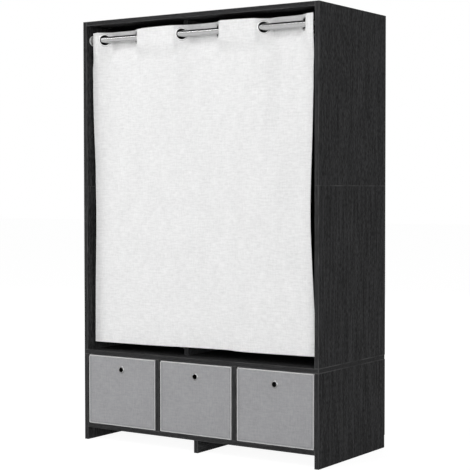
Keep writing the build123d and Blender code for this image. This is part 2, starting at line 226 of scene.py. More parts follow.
def makeBoardGroup(reach):
    group, given, result = makeGroup(
        "boardShape",
        (("Vector", "Vector"), ("Low", "Vector"), ("High", "Vector"), ("Thin", "Vector")),
        (("Arris", "Float"), ("Edge", "Float")),
    )
    fromLow = vectorNode(group, "SUBTRACT", given["Vector"], given["Low"])
    fromHigh = vectorNode(group, "SUBTRACT", given["High"], given["Vector"])
    near = vectorNode(group, "MINIMUM", fromLow, fromHigh)
    x, y, z = separate(group, near)
    # On an arris the second nearest face is close too
    lesser, greater = (mathNode(group, operation, x, y) for operation in ("MINIMUM", "MAXIMUM"))
    second = mathNode(group, "MAXIMUM", lesser, mathNode(group, "MINIMUM", greater, z))
    thin = vectorNode(group, "DOT_PRODUCT", near, given["Thin"], output="Value")
    feed(group, result, {
        "Arris": rampTo(group, second, *reach["arris"], 1.0, 0.0),
        "Edge": rampTo(group, thin, *reach["edge"]),
    })
    return group


# Plain weave with thick and thin threads. Each unevenness is (scale, place).
weavePattern = {
    "level": ((32, 165, 1), (0, 0, 0)), "upright": ((165, 40, 1), (3.1, 1.7, 0)),
    "cloud": ((14, 9, 1), (0.4, 5.2, 0)),
    "cross": 0.12, "levelGain": 1.2, "slubTone": 1.6, "slubHeight": 1.5, "weaveTone": (0.3, 0.4),
    "cloudTone": 0.3, "middleTone": 0.55,
}


def makeLinenGroup(pattern):
    group, given, result = makeGroup(
        "linenWeave",
        (("Vector", "Vector"), ("Dark", "Color"), ("Light", "Color"), ("Thread", "Float", 0.0009),
         ("Slub", "Float", 1.0), ("Upright", "Float", 0.7)),
        (("Color", "Color"), ("Height", "Float")),
    )
    perThread = mathNode(group, "DIVIDE", 1.0, given["Thread"])
    x, y, _ = separate(group, scaleVector(group, given["Vector"], perThread))

    def wave(value):
        return mathNode(group, "SINE", times(group, value, math.pi))

    warp, weft = (mathNode(group, "ABSOLUTE", wave(value)) for value in (x, y))
    cross = times(group, wave(plus(group, x, y)), pattern["cross"])
    weave = plus(group, times(group, warp, weft), cross)
    level, upright = (
        noiseAt(group, stretch(group, given["Vector"], *pattern[key]), detail=3.0, roughness=0.65)
        for key in ("level", "upright"))
    cloud = noiseAt(group, stretch(group, given["Vector"], *pattern["cloud"]))
    slub = swing(group, (level, pattern["levelGain"]), (upright, given["Upright"]))
    slub = times(group, slub, given["Slub"])
    tone = plus(group, times(group, slub, pattern["slubTone"]), swing(group, (weave, *pattern["weaveTone"])))
    tone = plus(group, tone, plus(group, swing(group, (cloud, pattern["cloudTone"])), pattern["middleTone"]))
    feed(group, result, {
        "Color": toneColor(group, tone, given),
        "Height": plus(group, weave, times(group, slub, pattern["slubHeight"])),
    })
    return group


# Metal with fine brushing along the group's own X
metalPattern = {"brushed": (18, 2200, 2200), "cloud": (60, 60, 60), "roughnessShare": 0.5}


def makeMetalGroup(pattern):
    group, given, result = makeGroup(
        "metalFinish",
        (("Vector", "Vector"), ("Color", "Color"), ("Roughness", "Float", 0.3), ("Brushing", "Float", 0.2)),
        (("Color", "Color"), ("Roughness", "Float"), ("Height", "Float")),
    )
    brushed = noiseAt(group, stretch(group, given["Vector"], pattern["brushed"]))
    cloud = noiseAt(group, stretch(group, given["Vector"], pattern["cloud"]), detail=3.0)
    change = times(group, swing(group, (brushed, 1.0), (cloud, 1.0)), given["Brushing"])
    feed(group, result, {
        "Color": scaleVector(group, given["Color"], plus(group, change, 1.0)),
        "Roughness": plus(group, given["Roughness"], times(group, change, pattern["roughnessShare"])),
        "Height": brushed,
    })
    return group


groups = {
    "grain": makeGrainGroup(grainPattern),
    "board": makeBoardGroup(boardReach),
    "linen": makeLinenGroup(weavePattern),
    "metal": makeMetalGroup(metalPattern),
}


def newMaterial(name):
    material = bpy.data.materials.new(name)
    material.use_nodes = True
    return material, material.node_tree, material.node_tree.nodes["Principled BSDF"].inputs


def placeGroup(tree, name, inputs):
    return addNode(tree, "ShaderNodeGroup", inputs, node_tree=groups[name])


def bump(tree, height, strength, distance):
    return addNode(tree, "ShaderNodeBump", {"Height": height, "Strength": strength, "Distance": distance})[0]


def coords(tree, kind="Object"):
    return addNode(tree, "ShaderNodeTexCoord")[kind]


def assign(node, material):
    for place in node.material_slots:
        place.material = material


# Boards: black ash foil, with matching tape on the narrow edges, and a lighter colour along the arrises that
# is partly rubbed wear and partly a painted highlight
boardLook = {
    "dark": grey(32, -0.02), "light": grey(64, -0.03), "figure": 1.0,
    "tapeDark": grey(40, -0.02), "tapeLight": grey(58, -0.03), "tapeFigure": 0.8,
    "streakLength": 0.13, "streakWidth": 0.0040, "shift": (0.37, 0.13, 0.21),
    "rubAndHighlight": grey(88), "rubAndHighlightPatches": 14.0, "rubAndHighlightRamp": (0.42, 0.62, 0.15, 0.75),
    "specular": 0.012, "bump": 0.3, "bumpDepth": 0.0002,
}
grainTurns = {"x": (0, 0, 0), "y": (0, 0, -90), "z": (0, 90, 0)}
boardGrain = {
    "base_side_left": "z", "base_side_right": "z", "base_bottom": "x", "base_top": "x",
    "base_divider_left": "z", "base_divider_right": "z", "base_foot": "y",
    "side_left_lower": "z", "side_left_upper": "z", "side_right_lower": "z", "side_right_upper": "z",
    "case_top": "x", "divider_lower": "z", "divider_upper": "z",
    "shelf_lower": "x", "shelf_middle": "x", "shelf_upper": "x",
}


def makeBoardMaterial(name, grain, number):
    look = boardLook
    material, tree, shader = newMaterial("ash_" + name)
    low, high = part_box(name)
    size = high - low
    thin = [1.0 if length == min(size) else 0.0 for length in size]
    place = coords(tree)
    shift = [step * number for step in look["shift"]]    # so that no two boards match
    grained = stretch(tree, place, place=shift, turn=grainTurns[grain])
    wood, tape = (placeGroup(tree, "grain", {
        "Vector": grained, "Dark": look[dark], "Light": look[light], "Figure": look[figure],
        "Streak Length": look["streakLength"], "Streak Width": look["streakWidth"]})
        for dark, light, figure in (("dark", "light", "figure"), ("tapeDark", "tapeLight", "tapeFigure")))
    shape = placeGroup(tree, "board", {"Vector": place, "Low": low, "High": high, "Thin": thin})
    color = blendColor(tree, shape["Edge"], wood["Color"], tape["Color"])
    # Lighter patches along the arrises: partly rubbed wear, partly a painted highlight where light catches
    # the edges
    arrisRubAndHighlight = rampTo(tree, noiseAt(tree, place, look["rubAndHighlightPatches"], detail=3.0), *look["rubAndHighlightRamp"])
    feed(tree, shader, {
        "Base Color": blendColor(tree, times(tree, shape["Arris"], arrisRubAndHighlight), color, look["rubAndHighlight"]),
        "Roughness": wood["Roughness"],
        "Specular IOR Level": look["specular"],
        "Normal": bump(tree, wood["Height"], look["bump"], look["bumpDepth"]),
    })
    return material


for number, (name, grain) in enumerate(boardGrain.items()):
    assign(nodes[name], makeBoardMaterial(name, grain, number))
print("boards finished,", len(boardGrain))


# Back panels: dark hardboard
hardboardLook = {
    "dark": grey(26), "light": grey(46), "fibre": 900.0, "fibreGain": 0.7, "cloud": 9.0, "cloudGain": 0.4,
    "roughness": (0.3, 0.7, 0.62, 0.74), "specular": 0.3, "bump": 0.25, "bumpDepth": 0.0002,
}


def makeHardboard():
    look = hardboardLook
    material, tree, shader = newMaterial("black_hardboard")
    place = coords(tree)
    speck = noiseAt(tree, place, look["fibre"], detail=3.0, roughness=0.7)
    cloud = noiseAt(tree, place, look["cloud"], detail=3.0)
    tone = plus(tree, times(tree, speck, look["fibreGain"]), times(tree, cloud, look["cloudGain"]))
    feed(tree, shader, {
        "Base Color": blendColor(tree, tone, look["dark"], look["light"]),
        "Roughness": rampTo(tree, cloud, *look["roughness"]),
        "Specular IOR Level": look["specular"],
        "Normal": bump(tree, speck, look["bump"], look["bumpDepth"]),
    })
    return material


hardboard = makeHardboard()
for name in ("back_panel_left", "back_panel_right", "base_back"):
    assign(nodes[name], hardboard)


# Metals. A socket's cup is darkened with painted shade while its rim stays light, told apart by the distance
# from the rod's axis. A ring's hole has painted shade in its well, between two places on the way round its
# profile.
metalLooks = {
    "satin_tube": {"color": grey(178), "roughness": 0.115, "brushing": 0.12, "bump": 0.03, "turn": "x"},
    "socket_metal": {"color": grey(238), "roughness": 0.50, "brushing": 0.10, "bump": 0.03, "turn": "x",
                     "metallic": 0.3, "shade": 0.16, "rim": (0.0144, 0.0152)},
    "zinc_steel": {"color": grey(170), "roughness": 0.38, "brushing": 0.25, "bump": 0.08, "turn": "z"},
    "eyelet_metal": {"color": grey(182), "roughness": 0.34, "brushing": 0.08, "bump": 0.02, "turn": "z",
                     "holeShadeSpan": (0.35, 0.51)},
    "grommet_metal": {"color": grey(140), "roughness": 0.42, "brushing": 0.08, "bump": 0.02, "turn": "z",
                      "holeShadeSpan": (0.45, 0.60)},
}
# Painted shade in a ring's hole: a dark tone between two places on the way round its profile
holeShadeFinish = {"tone": grey(34), "ease": 0.015}
metalBumpDepth = 0.0001


# Painted shade: darkens the socket's cup, inside its rim, down to the share given as its shade
def rimMask(tree, look):
    low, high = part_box("rod_socket_left")
    offset = vectorNode(tree, "SUBTRACT", coords(tree), (low + high) / 2)
    reach = vectorNode(tree, "LENGTH", stretch(tree, offset, (0, 1, 1)), output="Value")
    return rampTo(tree, reach, *look["rim"], look["shade"], 1.0)


# Where the painted shade lies in a ring's hole, eased in and out at both ends
def holeShadeMask(tree, look):
    along, ease = separate(tree, coords(tree, "UV"))[1], holeShadeFinish["ease"]
    start, end = look["holeShadeSpan"]
    begun = rampTo(tree, along, start - ease, start + ease)
    return times(tree, begun, rampTo(tree, along, end - ease, end + ease, 1.0, 0.0))


def makeMetal(name, look):
    material, tree, shader = newMaterial(name)
    metal = placeGroup(tree, "metal", {
        "Vector": stretch(tree, coords(tree), turn=grainTurns[look["turn"]]), "Color": look["color"],
        "Roughness": look["roughness"], "Brushing": look["brushing"]})
    color = metal["Color"]
    # Painted shade in the socket's cup
    if "rim" in look:
        color = scaleVector(tree, color, rimMask(tree, look))
    # Painted shade in the ring's hole
    if "holeShadeSpan" in look:
        color = blendColor(tree, holeShadeMask(tree, look), color, holeShadeFinish["tone"])
    feed(tree, shader, {
        "Base Color": color,
        "Roughness": metal["Roughness"],
        "Metallic": look.get("metallic", 1.0),
        "Normal": bump(tree, metal["Height"], look["bump"], metalBumpDepth),
    })
    return material


metals = {name: makeMetal(name, look) for name, look in metalLooks.items()}
metalNodes = {
    "satin_tube": ("curtain_rod", "clothes_rail"),
    "socket_metal": ("rod_socket_left", "rod_socket_right", "rail_socket_left", "rail_socket_right"),
    "zinc_steel": ("cam_bolts", "cam_locks", "shelf_pins", "back_nails", "socket_screws"),
}
for finish, names in metalNodes.items():
    for name in names:
        assign(nodes[name], metals[finish])

# Beech dowels
beechLook = {"Dark": grey(150, 0.18), "Light": grey(205, 0.14), "Streak Length": 0.02, "Streak Width": 0.001}


def makeBeech():
    material, tree, shader = newMaterial("beech")
    wood = placeGroup(tree, "grain", {"Vector": coords(tree), **beechLook})
    feed(tree, shader, {"Base Color": wood["Color"], "Roughness": wood["Roughness"]})
    return material


assign(nodes["dowels"], makeBeech())
print("metals and dowels finished")


# Cloths, woven on UV maps in metres unless a look says otherwise
clothLooks = {
    "white_cloth": {"dark": grey(212), "light": grey(243), "thread": 0.0009, "slub": 0.6, "bump": 0.35},
    "white_thread": {"dark": grey(205), "light": grey(240), "thread": 0.0004, "slub": 0.6, "bump": 0.3,
                     "source": "Object"},
    "grey_cloth": {"dark": grey(133, -0.028), "light": grey(165, -0.028), "thread": 0.0010, "slub": 0.40,
                   "upright": 1.3, "bump": 0.4},
    "grey_binding": {"dark": grey(176), "light": grey(208), "thread": 0.0008, "slub": 0.6, "bump": 0.35},
    "grey_piping": {"dark": grey(184), "light": grey(216), "thread": 0.0008, "slub": 0.6, "bump": 0.35},
    "grey_thread": {"dark": grey(92), "light": grey(118), "thread": 0.0004, "slub": 0.6, "bump": 0.3,
                    "source": "Object"},
    "bin_board": {"dark": grey(92), "light": grey(124), "thread": 0.0012, "slub": 1.4, "bump": 0.2,
                  "source": "Object"},
}
clothFinish = {"Roughness": 0.9, "Specular IOR Level": 0.2, "Sheen Weight": 0.15, "Sheen Roughness": 0.5}
clothBumpDepth = 0.0003


def makeCloth(name, look):
    material, tree, shader = newMaterial(name)
    linen = placeGroup(tree, "linen", {
        "Vector": coords(tree, look.get("source", "UV")), "Dark": look["dark"], "Light": look["light"],
        "Thread": look["thread"], "Slub": look["slub"], "Upright": look.get("upright", 0.8)})
    feed(tree, shader, {
        "Base Color": linen["Color"], **clothFinish,
        "Normal": bump(tree, linen["Height"], look["bump"], clothBumpDepth),
    })
    return material


cloths = {name: makeCloth(name, look) for name, look in clothLooks.items()}
for side in sides:
    assign(nodes[f"bin_{side}_insert"], cloths["bin_board"])


# Mesh helpers
def smoothStep(values):
    t = np.clip(values, 0, 1)
    return t * t * (3 - 2 * t)


# Values that ease from one place to the next and are level at each
def easeBetween(x, places, values):
    places, values = np.asarray(places, float), np.asarray(values, float)
    at = np.clip(np.searchsorted(places, x, side="right") - 1, 0, len(places) - 2)
    t = smoothStep((x - places[at]) / (places[at + 1] - places[at]))
    return values[at] + (values[at + 1] - values[at]) * t


def spread(low, high, cell):    # even steps of about a cell each, with both ends
    return np.linspace(low, high, max(1, math.ceil((high - low) / cell - 1e-6)) + 1)


# Grid lines from low to high, with an even block about each centre, and where each block starts
def gridLines(low, high, centres, half, blockCells, cell):
    lines, blocks, start = [], [], low
    for centre in centres:
        lines.extend(spread(start, centre - half, cell)[:-1])
        blocks.append(len(lines))
        lines.extend(np.linspace(centre - half, centre + half, blockCells + 1)[:-1])
        start = centre + half
    lines.extend(spread(start, high, cell))
    return np.array(lines), blocks


# Quads over a grid. Each hole is (first column, first row, centre, radius) of a block of count by count
# cells, filled with rings of quads from its square edge to a round hole. Gives points, faces and each face's
# column.
def gridWithHoles(uLines, vLines, holes, count, rings):
    nu, nv = len(uLines), len(vLines)
    points = [(u, v) for v in vLines for u in uLines]
    inside = {(i, j) for column, row, _, _ in holes
              for i in range(column, column + count) for j in range(row, row + count)}
    faces, columns = [], []
    for j in range(nv - 1):
        for i in range(nu - 1):
            if (i, j) not in inside:
                a = j * nu + i
                faces.append((a, a + 1, a + nu + 1, a + nu))
                columns.append(i)
    for column, row, centre, radius in holes:
        sidesOfBlock = ((0, 0, 1, 0), (count, 0, 0, 1), (count, count, -1, 0), (0, count, 0, -1))
        outer = [(row + j + up * k) * nu + column + i + on * k
                 for i, j, on, up in sidesOfBlock for k in range(count)]
        starts = [Vector(points[k]) for k in outer]
        middle = Vector(centre)
        for ring in range(1, rings + 1):
            share = 1 - (1 - ring / rings) ** 1.3    # the rings stand closer together near the hole
            inner = []
            for start in starts:
                onHole = middle + (start - middle).normalized() * radius
                inner.append(len(points))
                points.append(tuple(start.lerp(onHole, share)))
            for k in range(len(outer)):
                n = (k + 1) % len(outer)
                faces.append((outer[k], outer[n], inner[n], inner[k]))
                columns.append(column)
            outer = inner
    return np.array(points), faces, np.array(columns)


# A smooth mesh object. uvs and normals are given for each corner.
def buildMesh(name, points, faces, uvs=None, normals=None, material=None):
    mesh = bpy.data.meshes.new(name)
    mesh.from_pydata([tuple(p) for p in points], [], faces)
    mesh.shade_smooth()
    if uvs is not None:
        layer = mesh.uv_layers.new(name="UVMap")
        layer.data.foreach_set("uv", np.asarray(uvs, np.float32).ravel())
    if normals is not None:
        mesh.normals_split_custom_set([tuple(n) for n in normals])
    if material:
        mesh.materials.append(material)
    return placeObject(name, mesh)


# A closed shell about a surface. surface(params) gives places and normals, and front and back give how far
# its two layers stand off. Open edges get a rim.
def sheetPiece(name, params, faces, surface, front, back, material):
    used = np.unique([i for face in faces for i in face])
    local = {int(v): k for k, v in enumerate(used)}
    faces = [tuple(local[i] for i in face) for face in faces]
    own = params[used]
    place, normal = surface(own)
    count = len(used)
    points = np.concatenate([place + normal * front(own)[:, None], place - normal * back(own)[:, None]])
    openEdges = {}    # a dictionary, because it keeps their order
    for face in faces:
        for a, b in zip(face, face[1:] + face[:1]):
            if (b, a) in openEdges:
                del openEdges[(b, a)]
            else:
                openEdges[(a, b)] = True
    allFaces = list(faces) + [tuple(i + count for i in reversed(face)) for face in faces]
    corners = [normal[i] for face in faces for i in face]
    corners += [-normal[i] for face in faces for i in reversed(face)]
    for a, b in openEdges:
        allFaces.append((b, a, a + count, b + count))
        flat = np.cross(points[b] - points[a], normal[a])
        corners += [flat / max(np.linalg.norm(flat), 1e-9)] * 4
    uvs = [own[i % count] for face in allFaces for i in face]
    return buildMesh(name, points, allFaces, uvs, corners, material)


# A closed ring turned about an axis, from a profile of (radius, height) pairs
def revolved(name, profile, centre, axis, segments, material):
    axis = Vector(axis).normalized()
    first = axis.orthogonal().normalized()
    second = axis.cross(first)
    points, faces, uvs, count = [], [], [], len(profile)
    for k in range(segments):
        turn = 2 * math.pi * k / segments
        away = math.cos(turn) * first + math.sin(turn) * second
        points += [Vector(centre) + away * r + axis * h for r, h in profile]
        after = (k + 1) % segments
        for i in range(count):
            n = (i + 1) % count
            faces.append((k * count + i, k * count + n, after * count + n, after * count + i))
            uvs += [((k + u) / segments, (i + v) / count) for u, v in ((0, 0), (0, 1), (1, 1), (1, 0))]
    return buildMesh(name, points, faces, uvs, material=material)


# Stitches and piping follow paths, with Geometry Nodes
def geoNode(tree, kind, inputs=None, **settings):
    return addNode(tree, "GeometryNode" + kind, inputs, **settings)[0]


def startTree(name, inputs):
    ends = (("Geometry", "Geometry"),)
    inputs = ends + inputs + (("Material", "Material"),)
    tree, given, result = makeGroup(name, inputs, ends, "GeometryNodeTree")
    return tree, given, result, geoNode(tree, "MeshToCurve", {0: given["Geometry"]})


def finishTree(tree, given, result, geometry):
    real = geoNode(tree, "RealizeInstances", {0: geometry})
    feed(tree, result, {0: geoNode(tree, "SetMaterial", {"Geometry": real, "Material": given["Material"]})})
    return tree


def makeStitchTree():
    tree, given, result, curve = startTree("stitchRow", (
        ("Pitch", "Float"), ("Length", "Float"), ("Thread Radius", "Float"), ("Wobble", "Float"),
        ("Seed", "Int")))
    even = geoNode(tree, "ResampleCurve", {"Curve": curve, "Length": given["Pitch"]}, mode="LENGTH")
    tangent = geoNode(tree, "InputTangent")
    facing = addNode(tree, "FunctionNodeAlignRotationToVector", {"Vector": tangent}, axis="X")[0]
    half, thick = times(tree, given["Length"], 0.5), given["Thread Radius"]
    size = addNode(tree, "ShaderNodeCombineXYZ", {"X": half, "Y": thick, "Z": thick})[0]
    ball = geoNode(tree, "MeshUVSphere", {"Segments": 6, "Rings": 5, "Radius": 1.0})
    lying = geoNode(tree, "Transform", {"Geometry": ball, "Rotation": (0, math.pi / 2, 0)})
    stitch = geoNode(tree, "Transform", {"Geometry": lying, "Scale": size})
    ends = {2: minus(tree, 1.0, given["Wobble"]), 3: plus(tree, 1.0, given["Wobble"]), "Seed": given["Seed"]}
    vary = addNode(tree, "FunctionNodeRandomValue", ends, data_type="FLOAT")[1]
    placed = geoNode(tree, "InstanceOnPoints", {
        "Points": even, "Instance": stitch, "Rotation": facing, "Scale": vary})
    return finishTree(tree, given, result, placed)


def makePipingTree():
    tree, given, result, curve = startTree("piping", (("Radius", "Float"),))
    ring = geoNode(tree, "CurvePrimitiveCircle", {"Resolution": 12, "Radius": given["Radius"]})
    tube = geoNode(tree, "CurveToMesh", {"Curve": curve, "Profile Curve": ring, "Fill Caps": True})
    return finishTree(tree, given, result, geoNode(tree, "SetShadeSmooth", {"Geometry": tube}))


trees = {"stitches": makeStitchTree(), "piping": makePipingTree()}


# Runs a tree on paths of points, and gives a plain mesh object
def alongPaths(name, paths, treeName, inputs):
    points, edges = [], []
    for path in paths:
        start = len(points)
        points += [tuple(p) for p in path]
        edges += [(k, k + 1) for k in range(start, len(points) - 1)]
    mesh = bpy.data.meshes.new(name + "_path")
    mesh.from_pydata(points, edges, [])
    guide = placeObject(name + "_path", mesh)
    modifier = guide.modifiers.new("make", "NODES")
    modifier.node_group = trees[treeName]
    for item in trees[treeName].interface.items_tree:
        if item.in_out == "INPUT" and item.name in inputs:
            modifier[item.identifier] = inputs[item.name]
    bpy.context.view_layer.update()
    evaluated = guide.evaluated_get(bpy.context.evaluated_depsgraph_get())
    result = bpy.data.meshes.new_from_object(evaluated)
    result.name = name
    guide.modifiers.remove(modifier)
    bpy.data.objects.remove(guide)
    result.shade_smooth()
    return placeObject(name, result)


# Curtain
curtain = {
    "thickness": 0.0012, "nominalTop": 1.523, "nominalBottom": 0.368,
    "cell": 0.0048, "blockHalf": 0.028, "blockCells": 14, "holeRings": 4, "holeRadius": 0.0199,
    "flatRun": 0.0178,      # the cloth lies flat this far along the rod from an eyelet's middle
    "crestEase": 0.0046,    # how softly a fold reaches its crest
    "leftHem": -0.4757, "rightHem": 0.478,
    "bandBottom": 1.466,    # below this the cloth relaxes from the rod's weave into gentle folds
    "relax": (0.060, 0.095), "relaxEnds": (0.36, 0.08),    # over this height, and more near the ends
    "topEase": 1.513, "bottomEase": 0.55,    # the hem lines reach this far down and up
    "hemWidth": 0.026, "bottomHem": 0.040, "hemFold": 0.0006, "hemEase": 0.002,
    "wrinkle": 0.0007, "wrinkleEase": 0.12, "seed": 7, "ripples": 9,
    "rippleRanges": ((18, 75), (-9, 9), (0, 6.3), (0.3, 1.0)), "rippleAcross": 2.2,
    "leftTurn": (0.0070, 0.0034, 0.032),    # how far the hem turns back, at the top and below, and how wide
    "rightTurn": (0.0008, 0.006),
    "samples": 6001, "normalStep": 0.0004,
}
# Hem lines of the hanging cloth, as (height, x) from the top down
leftEdge = ((1.523, -0.4757), (1.450, -0.4780), (1.387, -0.4860), (1.341, -0.4838), (1.307, -0.4844),
            (1.157, -0.4820), (1.020, -0.4782), (0.970, -0.4782), (0.860, -0.4764), (0.782, -0.4766),
            (0.595, -0.4800), (0.366, -0.4816))
rightEdge = ((1.523, 0.478), (1.427, 0.4740), (1.361, 0.4703), (1.261, 0.4684), (1.128, 0.4634),
             (0.962, 0.4556), (0.879, 0.4538), (0.797, 0.4552), (0.631, 0.4661), (0.465, 0.4776),
             (0.398, 0.4838), (0.366, 0.4850))
# Its top and bottom lines, as (x, height)
topLine = ((-0.475, 1.5180), (-0.441, 1.5190), (-0.400, 1.5212), (-0.327, 1.5212), (-0.300, 1.5222),
           (-0.262, 1.5190), (-0.241, 1.5208), (-0.200, 1.5220), (-0.133, 1.5223), (-0.098, 1.5222),
           (-0.060, 1.5252), (0.033, 1.5254), (0.060, 1.5262), (0.085, 1.5243), (0.110, 1.5246),
           (0.177, 1.5238), (0.243, 1.5220), (0.260, 1.5213), (0.285, 1.5227), (0.301, 1.5250),
           (0.395, 1.5254), (0.412, 1.5262), (0.450, 1.5230), (0.483, 1.5240))
bottomLine = ((-0.487, 0.3665), (-0.400, 0.3668), (-0.250, 0.3670), (-0.150, 0.3696), (-0.080, 0.3706),
              (0.040, 0.3715), (0.100, 0.3721), (0.150, 0.3713), (0.190, 0.3712), (0.300, 0.3719),
              (0.380, 0.3725), (0.430, 0.3730), (0.484, 0.3742))
# Gentle folds below the eyelets, at three heights: x along the cloth, and how far behind the rod it hangs
lowFolds = (
    (1.330, (-0.486, -0.380, -0.300, -0.180, -0.100, 0.000, 0.075, 0.173, 0.260, 0.350, 0.420, 0.486),
     (-0.010, 0.009, 0.008, -0.010, -0.009, 0.009, 0.008, -0.010, -0.009, 0.008, 0.006, -0.008)),
    (0.950, (-0.486, -0.400, -0.230, -0.100, -0.020, 0.060, 0.110, 0.230, 0.300, 0.410, 0.440, 0.486),
     (-0.005, 0.003, 0.004, -0.005, -0.004, 0.004, 0.004, -0.006, -0.005, 0.004, 0.003, -0.005)),
    (0.366, (-0.486, -0.400, -0.250, -0.150, -0.060, 0.040, 0.100, 0.190, 0.300, 0.380, 0.430, 0.486),
     (-0.005, -0.001, 0.003, -0.003, 0.001, 0.005, 0.006, -0.006, -0.006, -0.003, -0.004, -0.005)),
)
eyeletNumbers = range(1, 7)
eyeletBoxes = {number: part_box(f"eyelet_{number}") for number in eyeletNumbers}
eyeletCentres = {number: (low + high) / 2 for number, (low, high) in eyeletBoxes.items()}
eyeletX = np.array([eyeletCentres[number].x for number in eyeletNumbers])
rodY, rodZ = eyeletCentres[1].y, eyeletCentres[1].z


# The cloth crosses the rod at each eyelet, so it stands in front of it and behind it by turns
def foldAtTop(x):
    gap = np.abs(x[:, None] - eyeletX[None, :]).min(axis=1)
    side = np.where(np.searchsorted(eyeletX, x) % 2 == 0, -1.0, 1.0)
    flat, soft = curtain["flatRun"], curtain["crestEase"]
    return side * np.where(gap < flat, gap, flat + soft * (1 - np.exp(-(gap - flat).clip(0) / soft)))


def foldBelow(x, z):
    levels = [(height, easeBetween(x, places, values)) for height, places, values in lowFolds]
    (highZ, high), (midZ, mid), (lowZ, low) = levels
    upper = smoothStep((z - midZ) / (highZ - midZ))
    lower = smoothStep((midZ - z) / (midZ - lowZ))
    return mid + (high - mid) * upper + (low - mid) * lower


# The cloth's own measure: how far along its top edge a place lies
topX = np.linspace(curtain["leftHem"], curtain["rightHem"], curtain["samples"])
topRun = np.concatenate([[0], np.cumsum(np.hypot(np.diff(topX), np.diff(foldAtTop(topX))))])
clothWidth = topRun[-1]
clothTop, clothBottom = curtain["nominalTop"], curtain["nominalBottom"]
# Each ripple is (across, along, start, size)
randomNumbers = np.random.RandomState(curtain["seed"])
ripples = [[randomNumbers.uniform(low, high) for low, high in curtain["rippleRanges"]]
           for _ in range(curtain["ripples"])]


def profileAt(line, values):
    places, sizes = zip(*sorted(line))
    return np.interp(values, places, sizes)


# Where the cloth's middle layer is, for each (distance along the cloth, height)
def clothPlaces(params):
    s, z = params[:, 0], params[:, 1]
    xTop = np.interp(s, topRun, topX)
    inner, outer = curtain["relax"]
    nearEnd, overEnd = curtain["relaxEnds"]
    relax = inner + (outer - inner) * smoothStep((np.abs(xTop) - nearEnd) / overEnd)
    low = smoothStep((curtain["bandBottom"] - z) / relax)
    left, right = profileAt(leftEdge, z), profileAt(rightEdge, z)
    x = xTop + (left + s / clothWidth * (right - left) - xTop) * low
    fold = foldAtTop(xTop) * (1 - low) + foldBelow(x, z) * low
    ripple = sum(size * np.sin(across * s * curtain["rippleAcross"] + along * z + start)
                 for across, along, start, size in ripples)
    below = smoothStep((curtain["bandBottom"] - z) / curtain["wrinkleEase"])
    fold = fold + curtain["wrinkle"] * ripple / math.sqrt(curtain["ripples"]) * below
    topTurn, lowTurn, wide = curtain["leftTurn"]
    fold = fold + (topTurn + (lowTurn - topTurn) * below) * smoothStep(1 - s / wide)
    turn, wide = curtain["rightTurn"]
    fold = fold + turn * (1 - (clothWidth - s) / wide).clip(0, 1) * below
    upper = smoothStep((z - curtain["topEase"]) / (clothTop - curtain["topEase"]))
    lower = smoothStep((curtain["bottomEase"] - z) / (curtain["bottomEase"] - clothBottom))
    height = z + (profileAt(topLine, x) - clothTop) * upper + (profileAt(bottomLine, x) - clothBottom) * lower
    return np.stack([x, rodY + fold, height], axis=1)


def clothSurface(params):
    step = curtain["normalStep"]
    across = clothPlaces(params + [step, 0]) - clothPlaces(params - [step, 0])
    along = clothPlaces(params + [0, step]) - clothPlaces(params - [0, step])
    normal = np.cross(across, along)
    return clothPlaces(params), normal / np.linalg.norm(normal, axis=1)[:, None]


def frontDepth(params):
    return np.full(len(params), curtain["thickness"] / 2)


def hemDepth(params):    # thicker at the back where the hems are folded over
    s, z = params[:, 0], params[:, 1]
    side = np.minimum(s, clothWidth - s)
    inside = np.maximum(curtain["hemWidth"] - side, clothBottom + curtain["bottomHem"] - z)
    folded = smoothStep(inside / curtain["hemEase"])
    return curtain["thickness"] / 2 + curtain["hemFold"] * folded


# Cloth pieces: name, right-hand seam as x at the eyelets, bodies, and where the cloth bends between them
clothPieces = (
    ("curtain_cloth_1", -0.324, ("curtain_lead",), None),
    ("curtain_cloth_2", -0.219, ("curtain_lead", "curtain_leaf_2"), (-0.2662, -0.237)),
    ("curtain_cloth_3", -0.122, ("curtain_leaf_2", "curtain_leaf_3"), (-0.200, -0.164)),
    ("curtain_cloth_4", 0.036, ("curtain_leaf_3", "curtain_leaf_4"), (-0.019, 0.017)),
    ("curtain_cloth_5", 0.236, ("curtain_leaf_4", "curtain_leaf_5"), (0.155, 0.191)),
    ("curtain_cloth_6", 0.394, ("curtain_leaf_5", "curtain_leaf_6"), (0.3315, 0.3675)),
    ("curtain_cloth_7", None, ("curtain_leaf_6",), None),
)


def bendOrRide(piece, bodies, bend):
    if bend:
        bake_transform(piece)
    else:
        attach(piece, bodies[0])


curtainStitches = {"Pitch": 0.0042, "Length": 0.0030, "Thread Radius": 0.00028, "Wobble": 0.12, "Seed": 3}
# The rows run this far inside the hems' folds, and one runs along the band
stitchRows = {"inset": 0.003, "band": 1.4435, "top": 1.519, "step": 0.004, "lift": 0.00005}


def clothPath(points):    # on the front of the cloth, for stitches
    place, normal = clothSurface(np.asarray(points, float))
    return place + normal * (curtain["thickness"] / 2 + stitchRows["lift"])


